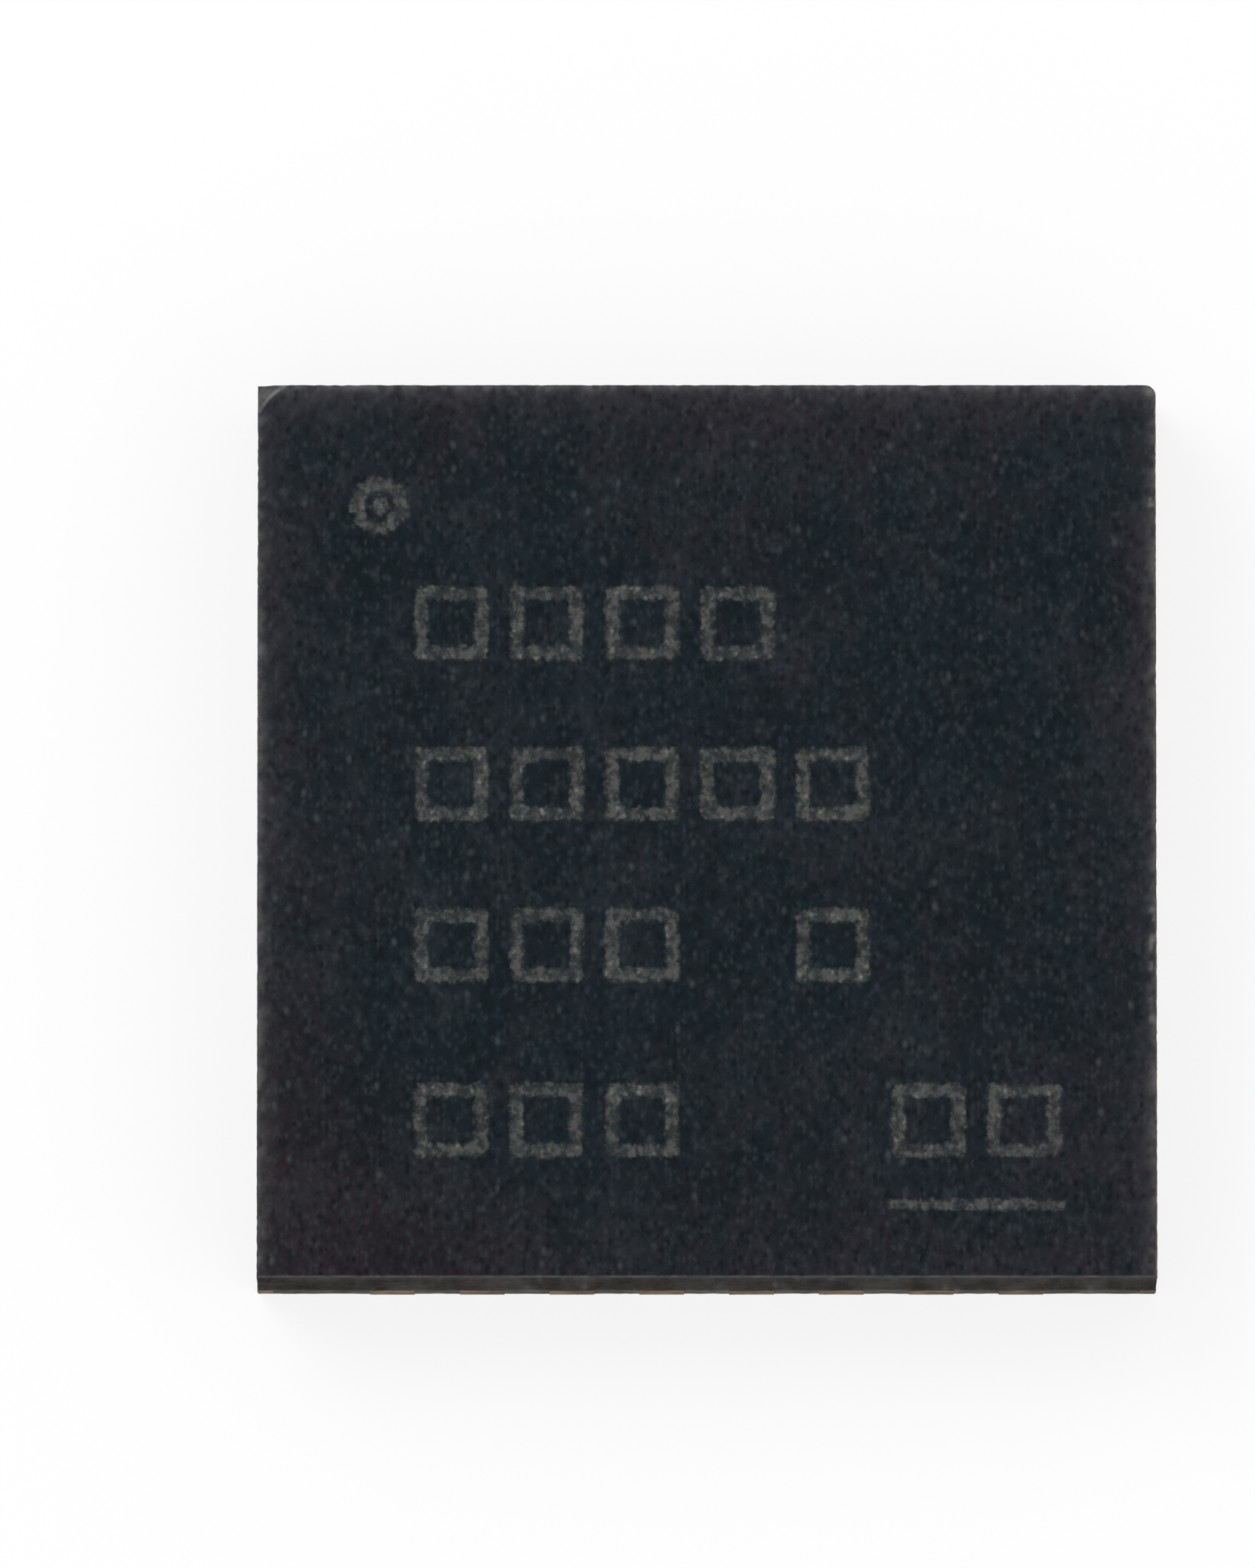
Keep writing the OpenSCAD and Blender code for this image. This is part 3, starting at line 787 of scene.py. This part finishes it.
def plate(name, rings, highlight_shares, node):
    """A tin piece from such stacks, in which each ring holds its share of the painted highlight along the
    rim.
    """
    plating = piece(name, *loft(rings), tin)
    shares = np.concatenate([np.repeat(highlight_shares, rings.shape[2]), highlight_shares[[0, -1]]])
    rim = plating.data.attributes.new("rim", "FLOAT", "POINT")
    rim.data.foreach_set("value", np.tile(shares, len(rings)).astype(np.float32))
    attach(plating, "root")
    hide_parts(node)


# A land is a tongue from the side of the body inwards, with a round inner end
pad_low, pad_high = box_mm("pad_plating")
tin_thickness = pad_high[2]
straight = LAND_LENGTH - LAND_WIDTH / 2
bend = np.linspace(0, np.pi, LAND_POINTS[2], endpoint=False)
tongue = np.concatenate([
    np.linspace([-LAND_WIDTH / 2, 0], [LAND_WIDTH / 2, 0], LAND_POINTS[0], endpoint=False),
    np.linspace([LAND_WIDTH / 2, 0], [LAND_WIDTH / 2, straight], LAND_POINTS[1], endpoint=False),
    np.stack([LAND_WIDTH / 2 * np.cos(bend), straight + LAND_WIDTH / 2 * np.sin(bend)], -1),
    np.linspace([-LAND_WIDTH / 2, straight], [-LAND_WIDTH / 2, 0], LAND_POINTS[3], endpoint=False)])
tongue -= [0, LAND_LENGTH / 2]
for side, turn in SIDE_TURNS.items():
    lands = pillow(tongue, PILLOW_SCALES, PILLOW_HEIGHTS, SIDE_COUNT)
    lands[..., 0] += row[:, None, None]
    lands[..., 1] += LAND_LENGTH / 2 - body_high[1]
    plate("land_tin_" + side, turned(lands, turn), PILLOW_HIGHLIGHT_SHARES, "land_plating_" + side)

# The pad is a square with its corner at terminal 1 cut off
pad_corners = np.array([
    [pad_low[0], pad_low[1]], [pad_high[0], pad_low[1]], [pad_high[0], pad_high[1]],
    [pad_low[0] + PAD_CHAMFER, pad_high[1]], [pad_low[0], pad_high[1] - PAD_CHAMFER]])
pad_outline = np.concatenate([
    np.linspace(a, b, PAD_POINTS, endpoint=False) for a, b in zip(pad_corners, np.roll(pad_corners, -1, 0))])
pad_scales = np.concatenate([PAD_RIM_SCALES, PAD_INNER_SCALES])
# The pad's rim rings take the pillow's heights and its painted highlight; its inner rings lie flat and carry
# none
pad_heights, pad_highlight_shares = (
    np.concatenate([shares[:len(PAD_RIM_SCALES)], np.zeros(len(PAD_INNER_SCALES))])
    for shares in (PILLOW_HEIGHTS, PILLOW_HIGHLIGHT_SHARES))
plate("pad_tin", pillow(pad_outline, pad_scales, pad_heights, 1), pad_highlight_shares, "pad_plating")


# Floor: a plain white table top.
# It takes the shadow, and reads as white paper to the camera and in reflections.
FLOOR_HALF = 500.0
FLOOR_WHITE = 0.95
FLOOR_GLOW = 0.8


def background_rays(tree):
    """One for the rays that show a background: from the camera, mirrored or through glass."""
    seen = put(tree, "LightPath").outputs
    either = maths(tree, "MAXIMUM", seen["Is Camera Ray"], seen["Is Glossy Ray"])
    return maths(tree, "MAXIMUM", either, seen["Is Transmission Ray"])


white_table = bpy.data.materials.new("white_table")
white_table.use_nodes = True
tree = white_table.node_tree
tree.nodes.clear()
matt = put(tree, "BsdfDiffuse", {"Color": (FLOOR_WHITE,) * 3 + (1.0,)}).outputs[0]
glow = put(tree, "Emission", {"Color": (1.0,) * 4, "Strength": 1.0}).outputs[0]
share = maths(tree, "MULTIPLY", background_rays(tree), FLOOR_GLOW)
table = put(tree, "MixShader", {0: share, 1: matt, 2: glow}).outputs[0]
put(tree, "OutputMaterial", {"Surface": table})
floor_points = FLOOR_HALF * np.array([[-1, -1, 0], [1, -1, 0], [1, 1, 0], [-1, 1, 0]], float)
floor = piece("table_top", floor_points, np.array([[0, 1, 2, 3]]), np.zeros((0, 3), int), white_table)


# Studio: an even white room, and two soft lamps, the stronger of them over the north-west corner.
# A lamp is given by its place, its width and its power in watts.
STUDIO_LEVEL = 0.7
LAMPS = {"key_lamp": ((-45.0, 40.0, 60.0), 50.0, 0.027), "fill_lamp": ((50.0, -30.0, 60.0), 60.0, 0.012)}

room = bpy.data.worlds.new("white_room")
bpy.context.scene.world = room
room.use_nodes = True
tree = room.node_tree
levels = {"Value": background_rays(tree), "To Min": STUDIO_LEVEL, "To Max": 1.0}
background = tree.nodes["Background"]
background.inputs["Color"].default_value = (1.0,) * 4
tree.links.new(put(tree, "MapRange", levels).outputs[0], background.inputs["Strength"])

aim = Vector((0, 0, body_high[2] * MM))
for name, (stand, width, power) in LAMPS.items():
    lamp = bpy.data.lights.new(name, "AREA")
    lamp.size = width * MM
    lamp.energy = power
    holder = bpy.data.objects.new(name, lamp)
    holder.location = Vector(stand) * MM
    holder.rotation_euler = (aim - holder.location).to_track_quat("-Z", "Y").to_euler()
    bpy.context.scene.collection.objects.link(holder)


# Camera: a long lens almost straight above the marked face, leaning back to the south so that the sawn side
# shows. The middle of the face is put at its pixel in the picture, at so many pixels to the millimetre.
LENS = 700.0
SENSOR = 36.0
CLIP = (1.0, 10000.0)
LEAN = 7.0
PICTURE = (1725, 2156)
PIXELS_PER_MM = 247.6
TOP_MIDDLE = (971.6, 1141.5)

photo_camera = bpy.data.cameras.new("photo_camera")
photo_camera.lens = LENS
photo_camera.sensor_width = SENSOR
photo_camera.clip_start = CLIP[0] * MM
photo_camera.clip_end = CLIP[1] * MM
back = Vector((0, -np.sin(np.radians(LEAN)), np.cos(np.radians(LEAN))))
upward = Vector((0, back.z, -back.y))
distance = LENS / SENSOR * PICTURE[1] / PIXELS_PER_MM
beside = (TOP_MIDDLE[0] - PICTURE[0] / 2) / PIXELS_PER_MM
below = (TOP_MIDDLE[1] - PICTURE[1] / 2) / PIXELS_PER_MM
stand = Vector((0, 0, body_high[2])) + back * distance - Vector((beside, 0, 0)) + upward * below
viewer = bpy.data.objects.new("photo_camera", photo_camera)
viewer.location = stand * MM
viewer.rotation_euler = (-back).to_track_quat("-Z", "Y").to_euler()
bpy.context.scene.collection.objects.link(viewer)
bpy.context.scene.camera = viewer
bpy.context.scene.view_settings.view_transform = "Standard"
